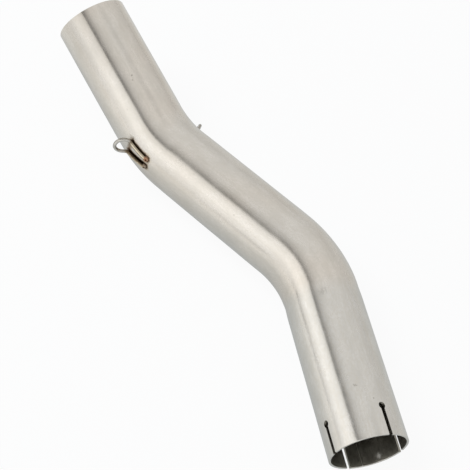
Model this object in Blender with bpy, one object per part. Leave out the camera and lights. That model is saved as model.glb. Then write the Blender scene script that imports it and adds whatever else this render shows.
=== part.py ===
"""Exhaust mid pipe: one bent stainless tube with two spring hooks welded to its first bend.

Metres, +Z up. The tube lies on a flat surface as it comes to rest: the slotted straight, along +X, and the
middle straight touch the surface, and the plain end rises. The origin is under the middle of the bounding box.

Places on the tube are given by a station, the distance from the plain end along the tube's own axis, and by a
side, the angle around the tube: 0 is +Y at the slotted end, a quarter turn is the top there.
"""
from math import asin, cos, pi, radians, sin, tan

import bmesh
import bpy
from mathutils import Matrix, Vector

MM = 0.001

# The tube
OUTER_RADIUS = 25.4 * MM
WALL = 1.5 * MM
PLAIN_STRAIGHT = 88 * MM
FIRST_BEND = radians(24)
MIDDLE_STRAIGHT = 98 * MM
SECOND_BEND = radians(34)
SLOTTED_STRAIGHT = 108 * MM
BEND_RADIUS = 85 * MM
FIRST_BEND_SIDE = radians(56)
SECOND_BEND_SIDE = radians(180)
RIM_CHAMFER = 0.3 * MM

# The weld seam of the rolled tube, which shows only in the bore
SEAM_SIDE = radians(270)
SEAM_WIDTH = 2.4 * MM
SEAM_HEIGHT = 0.3 * MM

# The keyhole slots that let the clamp close the tube's end
SLOT_COUNT = 4
FIRST_SLOT_SIDE = radians(67)
SLOT_DEPTH = 19 * MM
SLOT_WIDTH = 2.5 * MM
SLOT_HOLE = 4.5 * MM

# The spring hooks: a hairpin of wire whose legs are welded down and whose loop leans out to the plain end
WIRE = 2.5 * MM
HOOK_STATIONS = {"left": 98.5 * MM, "right": 112.5 * MM}
HOOK_SIDES = {"left": radians(166), "right": radians(344)}
HOOK_SKEW = radians(8.5)
LOOP_LENGTH = 10 * MM
LOOP_RADIUS = 5.6 * MM
LOOP_LEAN = radians(57)
LEAN_RADIUS = 2.5 * MM
LEG_LENGTH = 15 * MM
LEG_CLOSING = radians(5.7)

# The weld tacks at the ends of the hooks' legs
TACK_LENGTH = 5.2 * MM
TACK_WIDTH = 5.6 * MM
TACK_HEIGHT = 3.7 * MM

# Welded pieces are separate solids, which meet with this gap
GAP = 0.3 * MM

# Fineness of the facets
TUBE_FACETS = 48
RINGS_PER_BEND = 12
HOLE_FACETS = 20
WIRE_FACETS = 12
LOOP_STEPS = 14
LEG_STEPS = 6
LEAN_STEPS = 5
TACK_RINGS = 5
TACK_FACETS = 20

BORE_RADIUS = OUTER_RADIUS - WALL
RUNS = (
    (PLAIN_STRAIGHT, 0, 0),
    (FIRST_BEND * BEND_RADIUS, FIRST_BEND, FIRST_BEND_SIDE),
    (MIDDLE_STRAIGHT, 0, 0),
    (SECOND_BEND * BEND_RADIUS, SECOND_BEND, SECOND_BEND_SIDE),
    (SLOTTED_STRAIGHT, 0, 0),
)
TUBE_LENGTH = sum(length for length, angle, side in RUNS)
SLOT_STATION = TUBE_LENGTH - SLOT_DEPTH

# Each hook's legs, by the way they lie from its middle line around the tube
LEGS = {"first": 1, "second": -1}


def clear_scene():
    for item in list(bpy.data.objects):
        bpy.data.objects.remove(item, do_unlink=True)


def material(name, colour, roughness, metallic):
    made = bpy.data.materials.new(name)
    made.use_nodes = True
    shader = made.node_tree.nodes["Principled BSDF"]
    shader.inputs["Base Color"].default_value = (*colour, 1)
    shader.inputs["Roughness"].default_value = roughness
    shader.inputs["Metallic"].default_value = metallic
    return made


def place(name, mesh_or_curve, finish, parent):
    item = bpy.data.objects.new(name, mesh_or_curve)
    bpy.context.collection.objects.link(item)
    item.data.materials.append(finish)
    item.parent = parent
    return item


def closed_mesh(name, points, faces):
    """A mesh of the given faces with its normals turned outwards"""
    shape = bmesh.new()
    corners = [shape.verts.new(point) for point in points]
    for face in faces:
        shape.faces.new([corners[index] for index in face])
    bmesh.ops.recalc_face_normals(shape, faces=shape.faces)
    mesh = bpy.data.meshes.new(name)
    shape.to_mesh(mesh)
    shape.free()
    mesh.shade_smooth()
    mesh.set_sharp_from_angle(angle=radians(30))
    return mesh


def turn(angle):
    """A turn about the tube's own axis"""
    return Matrix.Rotation(angle, 4, "X")


def along_run(distance, length, angle, side):
    """The move over the first part of a run: straight on, or round an arc whose inside is at the side given"""
    if not angle:
        return Matrix.Translation((distance, 0, 0))
    centre = Vector((0, BEND_RADIUS, 0))
    turned = Matrix.Rotation(angle * distance / length, 4, "Z")
    arc = Matrix.Translation(centre) @ turned @ Matrix.Translation(-centre)
    return turn(side) @ arc @ turn(-side)


def frame_from_plain_end(station):
    """The tube's frame at a station, X along its axis, as seen from the plain end"""
    frame = Matrix.Identity(4)
    left = station
    for length, angle, side in RUNS:
        step = min(left, length)
        frame = frame @ along_run(step, length, angle, side)
        left -= step
    return frame @ Matrix.Translation((left, 0, 0))


# Laid down, the slotted end points along X, one radius above the surface
LYING = Matrix.Translation((0, 0, OUTER_RADIUS)) @ frame_from_plain_end(TUBE_LENGTH).inverted()


def frame_at(station):
    return LYING @ frame_from_plain_end(station)


def on_tube(station, side, height=0.0):
    """A frame on the tube's outside: X along the tube, Z straight out of it"""
    return frame_at(station) @ turn(side - pi / 2) @ Matrix.Translation((0, 0, OUTER_RADIUS + height))


def bend_stations():
    """The stations of the rings that follow the bends, both ends of each bend among them"""
    stations = []
    start = 0
    for length, angle, side in RUNS:
        if angle:
            stations += [start + length * step / RINGS_PER_BEND for step in range(RINGS_PER_BEND + 1)]
        start += length
    return stations


def facet_sides():
    """The sides of the facets' edges, from the seam's crest round, with both edges of the seam"""
    seam_half = SEAM_WIDTH / 2 / BORE_RADIUS
    regular = [SEAM_SIDE + 2 * pi * step / TUBE_FACETS for step in range(TUBE_FACETS)]
    return [regular[0], regular[0] + seam_half, *regular[1:], regular[0] + 2 * pi - seam_half]


def tube_rings():
    """The rings of the tube's skin as station, radius and seam height: out along the outside, back by the bore"""
    ends = (RIM_CHAMFER, TUBE_LENGTH - RIM_CHAMFER)
    stations = [ends[0], *bend_stations(), ends[1]]
    outside = [(station, OUTER_RADIUS, 0) for station in stations]
    bore = [(station, BORE_RADIUS, SEAM_HEIGHT) for station in reversed(stations)]
    plain_rim = (0, OUTER_RADIUS - RIM_CHAMFER, 0)
    slotted_rim = (TUBE_LENGTH, OUTER_RADIUS - RIM_CHAMFER, 0)
    slotted_mouth = (TUBE_LENGTH, BORE_RADIUS + RIM_CHAMFER, 0)
    plain_mouth = (0, BORE_RADIUS + RIM_CHAMFER, 0)
    return [plain_rim, *outside, slotted_rim, slotted_mouth, *bore, plain_mouth]


def tube_mesh():
    sides = facet_sides()
    points = []
    for station, radius, seam_height in tube_rings():
        frame = frame_at(station)
        for index, side in enumerate(sides):
            reach = radius - seam_height if index == 0 else radius
            points.append(frame @ Vector((0, reach * cos(side), reach * sin(side))))
    count = len(sides)
    faces = []
    for first in range(0, len(points), count):
        following = (first + count) % len(points)
        for index in range(count):
            beside = (index + 1) % count
            faces.append((first + index, first + beside, following + beside, following + index))
    return closed_mesh("mid_pipe", points, faces)


def keyhole_outline():
    """The keyhole as seen from outside: X runs out past the rim, the hole's centre is at the origin"""
    hole_radius = SLOT_HOLE / 2
    half_width = SLOT_WIDTH / 2
    mouth = asin(half_width / hole_radius)
    past_rim = SLOT_DEPTH + WALL
    outline = [(past_rim, -half_width), (past_rim, half_width)]
    for step in range(HOLE_FACETS + 1):
        angle = mouth + (2 * pi - 2 * mouth) * step / HOLE_FACETS
        outline.append((hole_radius * cos(angle), hole_radius * sin(angle)))
    return outline


def keyhole_cutter(name, side, parent):
    """A plug of the keyhole's outline that reaches from outside the tube into its bore"""
    outline = keyhole_outline()
    count = len(outline)
    frame = on_tube(SLOT_STATION, side)
    reach = 2 * WALL
    points = [frame @ Vector((x, y, height)) for height in (-reach, reach) for x, y in outline]
    faces = [range(count), range(count, 2 * count)]
    for index in range(count):
        beside = (index + 1) % count
        faces.append((index, beside, count + beside, count + index))
    return add_cutter(name, closed_mesh(name, points, faces), parent)


def add_cutter(name, mesh, parent):
    cutter = bpy.data.objects.new(name, mesh)
    bpy.context.collection.objects.link(cutter)
    cutter.parent = parent
    cutter.hide_render = True
    cutter.display_type = "WIRE"
    return cutter


def cut(item, cutter):
    boolean = item.modifiers.new(cutter.name, "BOOLEAN")
    boolean.operation = "DIFFERENCE"
    boolean.solver = "EXACT"
    boolean.object = cutter


def add_mid_pipe(finish, parent):
    pipe = place("mid_pipe", tube_mesh(), finish, parent)
    for index in range(SLOT_COUNT):
        side = FIRST_SLOT_SIDE + 2 * pi * index / SLOT_COUNT
        cut(pipe, keyhole_cutter(f"keyhole_{index + 1}", side, parent))


def leg_across(distance):
    """How far a leg lies from the hook's middle line, at a distance from the line where the wire leans out"""
    tangent_distance = LOOP_RADIUS - LOOP_LENGTH + LOOP_RADIUS * sin(LEG_CLOSING)
    tangent_across = LOOP_RADIUS * cos(LEG_CLOSING)
    return tangent_across - (distance - tangent_distance) * tan(LEG_CLOSING)


def hairpin():
    """The middle line of the hook's wire before it is leaned out, as distance from the lean line and across"""
    loop_centre = LOOP_RADIUS - LOOP_LENGTH
    lean_arc = LEAN_RADIUS * LOOP_LEAN
    leg = [LEG_LENGTH * (1 - step / LEG_STEPS) for step in range(LEG_STEPS)]
    leg += [-lean_arc * step / LEAN_STEPS for step in range(LEAN_STEPS + 1)]
    upper = [(distance, leg_across(distance)) for distance in leg]
    start = pi / 2 - LEG_CLOSING
    sweep = pi + 2 * LEG_CLOSING
    loop = []
    for step in range(LOOP_STEPS + 1):
        angle = start + sweep * step / LOOP_STEPS
        loop.append((loop_centre + LOOP_RADIUS * cos(angle), LOOP_RADIUS * sin(angle)))
    lower = [(distance, -across) for distance, across in reversed(upper)]
    return upper + loop + lower


def leaned(distance):
    """Where a point of the flat hairpin comes along the tube and above its wire's seat"""
    if distance >= 0:
        return distance, 0.0
    turned = min(-distance / LEAN_RADIUS, LOOP_LEAN)
    rest = -distance - turned * LEAN_RADIUS
    along = -LEAN_RADIUS * sin(turned) - rest * cos(LOOP_LEAN)
    height = LEAN_RADIUS * (1 - cos(turned)) + rest * sin(LOOP_LEAN)
    return along, height


def hook_frame(hand, distance, across):
    """The frame on the tube's outside under a point of the flat hairpin, and that point's height"""
    along, height = leaned(distance)
    skewed_along = along * cos(HOOK_SKEW) + across * sin(HOOK_SKEW)
    skewed_across = across * cos(HOOK_SKEW) - along * sin(HOOK_SKEW)
    station = HOOK_STATIONS[hand] + skewed_along
    side = HOOK_SIDES[hand] + skewed_across / OUTER_RADIUS
    return on_tube(station, side), WIRE / 2 + GAP + height


def wire_curve(name, points, radius):
    curve = bpy.data.curves.new(name, "CURVE")
    curve.dimensions = "3D"
    curve.bevel_depth = radius
    curve.bevel_resolution = (WIRE_FACETS - 4) // 2
    curve.resolution_u = 1
    curve.use_fill_caps = True
    spline = curve.splines.new("POLY")
    spline.points.add(len(points) - 1)
    for point, position in zip(spline.points, points):
        point.co = (*position, 1)
    return curve


def hook_points(hand):
    points = []
    for distance, across in hairpin():
        frame, height = hook_frame(hand, distance, across)
        points.append(frame @ Vector((0, 0, height)))
    return points


def tack_mesh(name, frame):
    """A low round weld bead on the tube's outside, its underside GAP clear of the tube"""
    points = []
    levels = [pi / 2 * step / TACK_RINGS for step in range(TACK_RINGS)]
    rings = [(cos(level), sin(level)) for level in levels]
    for spread, rise in rings:
        for step in range(TACK_FACETS):
            angle = 2 * pi * step / TACK_FACETS
            along = TACK_LENGTH / 2 * spread * cos(angle)
            across = TACK_WIDTH / 2 * spread * sin(angle)
            drop = OUTER_RADIUS - (OUTER_RADIUS ** 2 - across ** 2) ** 0.5
            points.append(frame @ Vector((along, across, GAP - drop + TACK_HEIGHT * rise)))
    under = len(points)
    points.append(frame @ Vector((0, 0, GAP)))
    points.append(frame @ Vector((0, 0, GAP + TACK_HEIGHT)))
    faces = []
    for ring in range(TACK_RINGS - 1):
        for step in range(TACK_FACETS):
            first = ring * TACK_FACETS + step
            beside = ring * TACK_FACETS + (step + 1) % TACK_FACETS
            faces.append((first, beside, beside + TACK_FACETS, first + TACK_FACETS))
    top_ring = (TACK_RINGS - 1) * TACK_FACETS
    for step in range(TACK_FACETS):
        beside = (step + 1) % TACK_FACETS
        faces.append((beside, step, under))
        faces.append((top_ring + step, top_ring + beside, under + 1))
    return closed_mesh(name, points, faces)


def add_hook(hand, finish, parent):
    name = f"spring_hook_{hand}"
    place(name, wire_curve(name, hook_points(hand), WIRE / 2), finish, parent)


def rod_mesh(name, start, end, radius):
    """A straight round rod between two points"""
    length = (end - start).length
    aimed = (end - start).to_track_quat("Z", "Y").to_matrix().to_4x4()
    middle = Matrix.Translation((start + end) / 2) @ aimed
    shape = bmesh.new()
    bmesh.ops.create_cone(
        shape,
        cap_ends=True,
        segments=WIRE_FACETS,
        radius1=radius,
        radius2=radius,
        depth=length,
        matrix=middle,
    )
    mesh = bpy.data.meshes.new(name)
    shape.to_mesh(mesh)
    shape.free()
    return mesh


def leg_socket(hand, leg, direction, parent):
    """The hollow that a leg's end leaves in its tack, one GAP wider than the wire"""
    name = f"leg_socket_{hand}_{leg}"
    ends = []
    for distance in (LEG_LENGTH + GAP, LEG_LENGTH - TACK_LENGTH):
        frame, height = hook_frame(hand, distance, direction * leg_across(distance))
        ends.append(frame @ Vector((0, 0, height)))
    return add_cutter(name, rod_mesh(name, *ends, WIRE / 2 + GAP), parent)


def add_tacks(hand, finish, parent):
    for leg, direction in LEGS.items():
        name = f"weld_tack_{hand}_{leg}"
        frame, height = hook_frame(hand, LEG_LENGTH, direction * leg_across(LEG_LENGTH))
        tack = place(name, tack_mesh(name, frame), finish, parent)
        cut(tack, leg_socket(hand, leg, direction, parent))


def put_origin_under_middle(parent):
    """Moves the parent so that the world's origin is under the middle of everything that it carries"""
    bpy.context.view_layer.update()
    graph = bpy.context.evaluated_depsgraph_get()
    points = []
    for item in parent.children:
        if not item.hide_render:
            seen = item.evaluated_get(graph)
            points += [seen.matrix_world @ vertex.co for vertex in seen.to_mesh().vertices]
            seen.to_mesh_clear()
    lowest = Vector([min(point[axis] for point in points) for axis in range(3)])
    highest = Vector([max(point[axis] for point in points) for axis in range(3)])
    middle = (lowest + highest) / 2
    parent.location = (-middle.x, -middle.y, -lowest.z)


def build():
    clear_scene()
    steel = material("satin_stainless", (0.60, 0.58, 0.54), 0.34, 1.0)
    wire_steel = material("hook_wire_steel", (0.52, 0.50, 0.45), 0.30, 1.0)
    tack_steel = material("weld_tack_steel", (0.45, 0.30, 0.20), 0.42, 1.0)
    whole = bpy.data.objects.new("mid_pipe_place", None)
    bpy.context.collection.objects.link(whole)
    add_mid_pipe(steel, whole)
    for hand in HOOK_SIDES:
        add_hook(hand, wire_steel, whole)
        add_tacks(hand, tack_steel, whole)
    put_origin_under_middle(whole)


build()
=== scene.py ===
"""Looks of the exhaust mid pipe: a bent tube of satin stainless steel with two wire spring hooks welded on.

Metres, in the frame's own axes. A place on the tube is a station, the distance from the plain end along its
axis, and a side, the angle around it, 0 at +Y and a quarter turn on top.
"""

from functools import partialmethod
from math import cos, exp, pi, radians, sin, tan

import bmesh
import bpy
from mathutils import Matrix, Vector, noise


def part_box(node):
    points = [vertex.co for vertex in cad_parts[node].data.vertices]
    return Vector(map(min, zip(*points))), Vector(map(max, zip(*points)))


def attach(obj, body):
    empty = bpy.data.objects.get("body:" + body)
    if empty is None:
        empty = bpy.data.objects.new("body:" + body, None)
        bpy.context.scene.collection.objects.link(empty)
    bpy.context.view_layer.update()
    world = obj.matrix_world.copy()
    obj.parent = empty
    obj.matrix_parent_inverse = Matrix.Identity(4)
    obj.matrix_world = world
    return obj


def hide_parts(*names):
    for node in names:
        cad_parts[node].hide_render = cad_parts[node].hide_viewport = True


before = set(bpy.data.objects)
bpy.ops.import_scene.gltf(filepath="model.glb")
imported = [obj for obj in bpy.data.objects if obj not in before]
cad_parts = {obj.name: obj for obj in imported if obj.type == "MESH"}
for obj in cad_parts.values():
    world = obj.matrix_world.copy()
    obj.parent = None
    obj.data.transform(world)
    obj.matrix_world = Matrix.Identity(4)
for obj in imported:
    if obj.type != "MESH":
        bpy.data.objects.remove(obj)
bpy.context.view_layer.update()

MM = 0.001

# The tube, as the part has it
OUTER_RADIUS = 25.4 * MM
WALL = 1.5 * MM
BORE_RADIUS = OUTER_RADIUS - WALL
PLAIN_STRAIGHT = 88 * MM
FIRST_BEND = radians(24)
MIDDLE_STRAIGHT = 98 * MM
SECOND_BEND = radians(34)
SLOTTED_STRAIGHT = 108 * MM
BEND_RADIUS = 85 * MM
FIRST_BEND_SIDE = radians(56)
SECOND_BEND_SIDE = radians(180)
RIM_ROUNDING = 0.35 * MM
SEAM_SIDE = radians(270)
SEAM_WIDTH = 2.4 * MM
SEAM_HEIGHT = 0.3 * MM

# Its runs from the plain end: length, angle of the bend and the side that the bend turns to
RUNS = (
    (PLAIN_STRAIGHT, 0, 0),
    (FIRST_BEND * BEND_RADIUS, FIRST_BEND, FIRST_BEND_SIDE),
    (MIDDLE_STRAIGHT, 0, 0),
    (SECOND_BEND * BEND_RADIUS, SECOND_BEND, SECOND_BEND_SIDE),
    (SLOTTED_STRAIGHT, 0, 0),
)
TUBE_LENGTH = sum(length for length, angle, side in RUNS)

# The keyhole slots
SLOT_COUNT = 4
FIRST_SLOT_SIDE = radians(67)
SLOT_DEPTH = 19 * MM
SLOT_WIDTH = 2.5 * MM
SLOT_HOLE = 4.5 * MM
SLOT_HOLE_FACETS = 32
SLOT_OVERRUN = 1.2
CUTTER_WALLS = 6

# The spring hooks
WIRE = 2.5 * MM
HOOK_STATIONS = {"left": 98.5 * MM, "right": 112.5 * MM}
HOOK_SIDES = {"left": radians(166), "right": radians(344)}
HOOK_SKEW = radians(8.5)
LOOP_LENGTH = 10 * MM
LOOP_RADIUS = 5.6 * MM
LOOP_LEAN = radians(57)
LEAN_RADIUS = 2.5 * MM
LEG_LENGTH = 15 * MM
LEG_CLOSING = radians(5.7)
NECK_PINCH = 0.55 * MM
NECK_START = -3.5 * MM
NECK_END = 1.0 * MM
NECK_LENGTH = 3.0 * MM
LEGS = {"first": 1, "second": -1}

# The weld beads over the ends of the legs
BEAD_SHARE = {"first": 0.82, "second": 0.94}
COPPER_TONE = {"first": 0.1, "second": 1.0}
BEAD_LENGTH = 5.0 * MM
BEAD_WIDTH = 4.6 * MM
BEAD_HEIGHT = 3.1 * MM
BEAD_FLATNESS = 0.62
BEAD_SINK = 0.12 * MM
BEAD_RINGS = 22
BEAD_FACETS = 48
BEAD_SEED_STEP = 0.37
EDGE_WOBBLE = 0.07
EDGE_WOBBLES = 1.7
SKIN_ROUGHNESS = 0.12 * MM
SKIN_GRAIN = 0.9 * MM
SKIN_GRAIN_SLICE = 4 * MM
RIPPLE_SPACING = 0.8 * MM
RIPPLE_HEIGHT = 0.09 * MM
RIPPLE_CENTRE = 0.6 * BEAD_LENGTH
CRATER_PLACE = 0.9 * MM
CRATER_RADIUS = 0.75 * MM
CRATER_DEPTH = 1.1 * MM

# Fineness of the meshes, and the angles past which an edge stays sharp
TUBE_FACETS = 160
STRAIGHT_STEP = 3 * MM
BEND_STEP = radians(1.25)
RIM_STEPS = 4
WIRE_FACETS = 28
WIRE_STEP = 0.35 * MM
TUBE_EDGE = radians(30)
WIRE_EDGE = radians(50)
BEAD_EDGE = radians(60)

# What bending leaves of the tube's roundness, and how even its skin is
BEND_OVALITY = 0.003
OVAL_RUN_OUT = 7 * MM
BEND_MARK_DEPTHS = (0.06 * MM, 0.08 * MM, 0.05 * MM, 0.22 * MM)
BEND_MARK_LENGTH = 4 * MM
WAVE_HEIGHT = 0.05 * MM
WAVE_LENGTH = 24 * MM

# How deep the skin's finish goes over the rims
SKIN_DEPTH = 0.8 * RIM_ROUNDING

# Where the bent part's warmer skin goes over into the cooler skin of the slotted end
BENT_END = 262 * MM
COOL_START = 282 * MM
# Larger knocks on the skin: station, side, size and darkness
KNOCKS = (
    (57.7 * MM, radians(99), 1.3 * MM, 0.75),
    (60.9 * MM, radians(101.5), 1.1 * MM, 0.5),
    (346.0 * MM, radians(97), 2.0 * MM, 0.55),
    (356.0 * MM, radians(76.5), 1.2 * MM, 0.6),
    (278.5 * MM, radians(101), 6.0 * MM, 0.26),
)
# A knock's core and its ragged edge, as shares of its size
KNOCK_CORE = 0.35
KNOCK_EDGE = 0.7
# A painted shade on the skin by the plain end: a patch darkened towards black
PAINTED_SHADE_SIDE = radians(140)
PAINTED_SHADE_HALF = radians(36)
PAINTED_SHADE_REACH = 78 * MM
PAINTED_SHADE_SHARE = 0.17
# A painted glint inside the slotted end: a bright spot on the bore
GLINT_STATION = TUBE_LENGTH - 4 * MM
GLINT_SIDE = radians(298)
GLINT_SIZE = 3.4 * MM
GLINT_CORE = 0.8 * MM
GLINT_EDGE = 1.5 * MM
# A brown patch in a hook's neck, partly the heat's stain and partly painted shade under the wire: its place
# past the lean line, and where it starts and is full
NECK_PATCH_PLACE = 0.6 * MM
NECK_PATCH_ALONG = (3.0 * MM, 0.3 * MM)
NECK_PATCH_ACROSS = (6.4 * MM, 3.4 * MM)

# The colours that welding leaves on stainless steel; the burnt, brown and soot colours also paint shade on
# the wire and on the tube beside the hooks
STRAW = (0.74, 0.62, 0.42)
BROWNING_AND_SHADE = (0.30, 0.185, 0.09)
BURNT_AND_SHADE = (0.135, 0.095, 0.055)
SOOT_AND_SHADE = (0.075, 0.056, 0.036)

# How rough the finishes are at their smoothest, and how deep their relief is
SATIN_ROUGHNESS = 0.20
SATIN_RELIEF = 0.006 * MM
SATIN_BRUSHING = 0.8
BORE_ROUGHNESS = 0.34
BORE_RELIEF = 0.03 * MM
WIRE_ROUGHNESS = 0.12
WIRE_RELIEF = 0.02 * MM
WELD_ROUGHNESS = 0.18
WELD_RELIEF = 0.08 * MM

# The finishes' own colours; a pair is the darker and the lighter patches
WARM_SATIN = ((0.773, 0.704, 0.621), (0.870, 0.798, 0.713))
COOL_SATIN = ((0.750, 0.727, 0.677), (0.840, 0.816, 0.768))
SATIN_FLECK = (0.735, 0.695, 0.615)
SATIN_STREAK = (0.70, 0.655, 0.575)
SATIN_MARK = (0.42, 0.385, 0.33)
SATIN_KNOCK = (0.24, 0.215, 0.175)
RAW_BORE = ((0.255, 0.24, 0.20), (0.42, 0.40, 0.345))
BORE_SEAM = (0.80, 0.77, 0.70)
BORE_GLINT = (0.95, 0.93, 0.88)
DRAWN_WIRE = ((0.57, 0.55, 0.50), (0.75, 0.725, 0.67))
COPPER_WELD = ((0.52, 0.23, 0.11), (0.95, 0.62, 0.42))
PALE_WELD = ((0.44, 0.37, 0.26), (0.74, 0.68, 0.56))
WELD_FLECK = (0.16, 0.095, 0.06)
WELD_FOOT = (0.16, 0.11, 0.075)
WELD_PIT = (0.05, 0.03, 0.02)
BLACK = (0.0, 0.0, 0.0)
WHITE = (1.0, 1.0, 1.0, 1.0)

# The photograph's view
CAMERA_PLACE = (0.400935, -0.118923, 0.6631)
CAMERA_RIGHT = (0.2226, 0.973, 0.0615)
CAMERA_FORWARD = (-0.5145, 0.1708, -0.8403)
CAMERA_LENS = 85.55
CAMERA_SENSOR = 36

# The studio: a tent of white cloth round the tube with a dark slit, on a white table
TENT_RADIUS = 4.0
TENT_HALF_LENGTH = 14.0
TENT_STEPS = 96
TENT_TURN = radians(13)
# The tent's brightness by the angle in degrees over it, from the table's -Y side to its +Y side
TENT_LEVELS = (
    (0, 0.98), (12, 1.01), (20, 1.08), (27, 1.17), (36, 1.15), (46, 1.04), (56, 0.94), (57.5, 0.15),
    (60, 0.12), (64, 0.36), (69, 0.53), (75, 0.63), (84, 0.71), (96, 0.76), (125, 0.76), (150, 0.70),
    (170, 0.66), (180, 0.64),
)
# The tent's shaded foot on the -Y side, and the white board by which it stays bright
FOOT_HEIGHT = radians(8)
FOOT_SHADE = 0.85
BOARD_PLACE = -1.1
BOARD_REACH = (1.1, 2.2)
# A faint fold high in the cloth on the +Y side, which runs out along the tent
FOLD_ANGLE = radians(114)
FOLD_WIDTH = radians(13)
FOLD_RUN_OUT = (-1.1, -0.5)
FOLD_SHADE = 0.15
TABLE_HALF = 3.4
TABLE_DROP = 0.1 * MM
TABLE_WHITENESS = 0.92
TABLE_PAINT = (0.80, 0.83, 0.86, 1.0)
TABLE_STEP = 12 * MM
TABLE_FINE_HALF = 0.3
TABLE_STEP_GROWTH = 1.35
# How the metal shows the table, with a painted shadow beside the tube and a painted fall-off of light from
# one hand to the other: its brightness beside the tube and far off on either hand, and its tint
TABLE_BESIDE = 0.52
TABLE_FAR = (1.0, 0.70)
TABLE_FAR_HALF = 0.2
TABLE_DIMMING = 0.06
TABLE_GLEAM = 0.95
TABLE_TINTS = ((0.93, 0.975, 1.0), (1.0, 0.985, 0.96))
ROOM_LIGHT = 0.5
LAMP_PLACE = (-0.6, -0.9, 1.6)
LAMP_SIZE = 1.2
LAMP_POWER = 18


# Places along the tube

def turn(angle):
    """A turn about the tube's own axis"""
    return Matrix.Rotation(angle, 4, "X")


def along_run(distance, length, angle, side):
    """The move over the first part of a run: straight on, or round an arc whose inside is at the side"""
    if not angle:
        return Matrix.Translation((distance, 0, 0))
    centre = Vector((0, BEND_RADIUS, 0))
    turned = Matrix.Rotation(angle * distance / length, 4, "Z")
    arc = Matrix.Translation(centre) @ turned @ Matrix.Translation(-centre)
    return turn(side) @ arc @ turn(-side)


def frame_from_plain_end(station):
    placed = Matrix.Identity(4)
    left = station
    for length, angle, side in RUNS:
        step = min(left, length)
        placed = placed @ along_run(step, length, angle, side)
        left -= step
    return placed @ Matrix.Translation((left, 0, 0))


TUBE_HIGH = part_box("mid_pipe")[1]
SLOTTED_RIM = Vector((TUBE_HIGH.x, TUBE_HIGH.y - OUTER_RADIUS, OUTER_RADIUS))
LYING = Matrix.Translation(SLOTTED_RIM) @ frame_from_plain_end(TUBE_LENGTH).inverted()


def frame_at(station):
    return LYING @ frame_from_plain_end(station)


def on_tube(station, side):
    """A frame on the tube's outside: X along the tube, Z straight out of it"""
    return frame_at(station) @ turn(side - pi / 2) @ Matrix.Translation((0, 0, OUTER_RADIUS))


def smooth_step(value):
    held = min(max(value, 0), 1)
    return held ** 2 * (3 - 2 * held)


def leg_across(distance):
    """How far a leg lies from the hook's middle line, at a distance from where the wire leans out"""
    tangent_distance = LOOP_RADIUS - LOOP_LENGTH + LOOP_RADIUS * sin(LEG_CLOSING)
    tangent_across = LOOP_RADIUS * cos(LEG_CLOSING)
    pinch = NECK_PINCH * smooth_step((distance - NECK_START) / (NECK_END - NECK_START))
    return tangent_across - (distance - tangent_distance) * tan(LEG_CLOSING) - pinch


def leaned(distance):
    """Where a point of the flat hairpin comes along the tube and above its wire's seat"""
    if distance >= 0:
        return distance, 0.0
    turned = min(-distance / LEAN_RADIUS, LOOP_LEAN)
    rest = -distance - turned * LEAN_RADIUS
    along = -LEAN_RADIUS * sin(turned) - rest * cos(LOOP_LEAN)
    height = LEAN_RADIUS * (1 - cos(turned)) + rest * sin(LOOP_LEAN)
    return along, height


def hook_frame(hand, distance, across):
    """The frame on the tube's outside under a point of the flat hairpin, and that point's height"""
    along, height = leaned(distance)
    skewed_along = along * cos(HOOK_SKEW) + across * sin(HOOK_SKEW)
    skewed_across = across * cos(HOOK_SKEW) - along * sin(HOOK_SKEW)
    station = HOOK_STATIONS[hand] + skewed_along
    side = HOOK_SIDES[hand] + skewed_across / OUTER_RADIUS
    return on_tube(station, side), WIRE / 2 + height


def leg_end(hand, leg):
    """The frame on the tube's outside under the end of a leg, where it is welded down"""
    return hook_frame(hand, LEG_LENGTH, LEGS[leg] * leg_across(LEG_LENGTH))[0]


# Node trees

VECTORS = "FLOAT_VECTOR"


class Term:
    """A node's output; a sum written on it adds the node that works the sum out"""

    def __init__(self, socket):
        self.socket = socket
        self.tree = socket.id_data

    def calc(self, operation, *others):
        return calc(self.tree, operation, self, *others)

    def calc_back(self, operation, other):
        return calc(self.tree, operation, other, self)

    def __neg__(self):
        return self.calc("MULTIPLY", -1)

    __add__ = partialmethod(calc, "ADD")
    __sub__ = partialmethod(calc, "SUBTRACT")
    __rsub__ = partialmethod(calc_back, "SUBTRACT")
    __mul__ = partialmethod(calc, "MULTIPLY")
    __truediv__ = partialmethod(calc, "DIVIDE")
    __rtruediv__ = partialmethod(calc_back, "DIVIDE")
    __abs__ = partialmethod(calc, "ABSOLUTE")
    __lt__ = partialmethod(calc, "LESS_THAN")
    __gt__ = partialmethod(calc, "GREATER_THAN")


def add(tree, kind, inputs=None, **settings):
    """Adds a node with its settings; an input is a plain value or a term"""
    made = tree.nodes.new(kind)
    for name, value in settings.items():
        setattr(made, name, value)
    for name, value in (inputs or {}).items():
        if isinstance(value, Term):
            tree.links.new(value.socket, made.inputs[name])
        else:
            made.inputs[name].default_value = value
    return made


def term(tree, kind, inputs=None, output=0, **settings):
    """Adds a node and gives one of its outputs"""
    return Term(add(tree, kind, inputs, **settings).outputs[output])


def outputs(node):
    return [Term(output) for output in node.outputs]


def calc(tree, operation, *values):
    """The result of a sum on plain values"""
    return term(tree, "ShaderNodeMath", dict(enumerate(values)), operation=operation)


def vector_calc(operation, first, second, output=0):
    """The result of a sum on two vectors"""
    return term(first.tree, "ShaderNodeVectorMath", {0: first, 1: second}, output, operation=operation)


def scaled(vector, factor):
    return term(vector.tree, "ShaderNodeVectorMath", {0: vector, "Scale": factor}, operation="SCALE")


def split(vector):
    return outputs(add(vector.tree, "ShaderNodeSeparateXYZ", {0: vector}))


def joined(x, y, z):
    return term(x.tree, "ShaderNodeCombineXYZ", {0: x, 1: y, 2: z})


def side_of(y, z):
    return z.calc("ARCTAN2", y)


def off_side(side, middle):
    """How far a side is from another the shorter way round, either way"""
    return (side - middle).calc("WRAP", pi, -pi)


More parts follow.
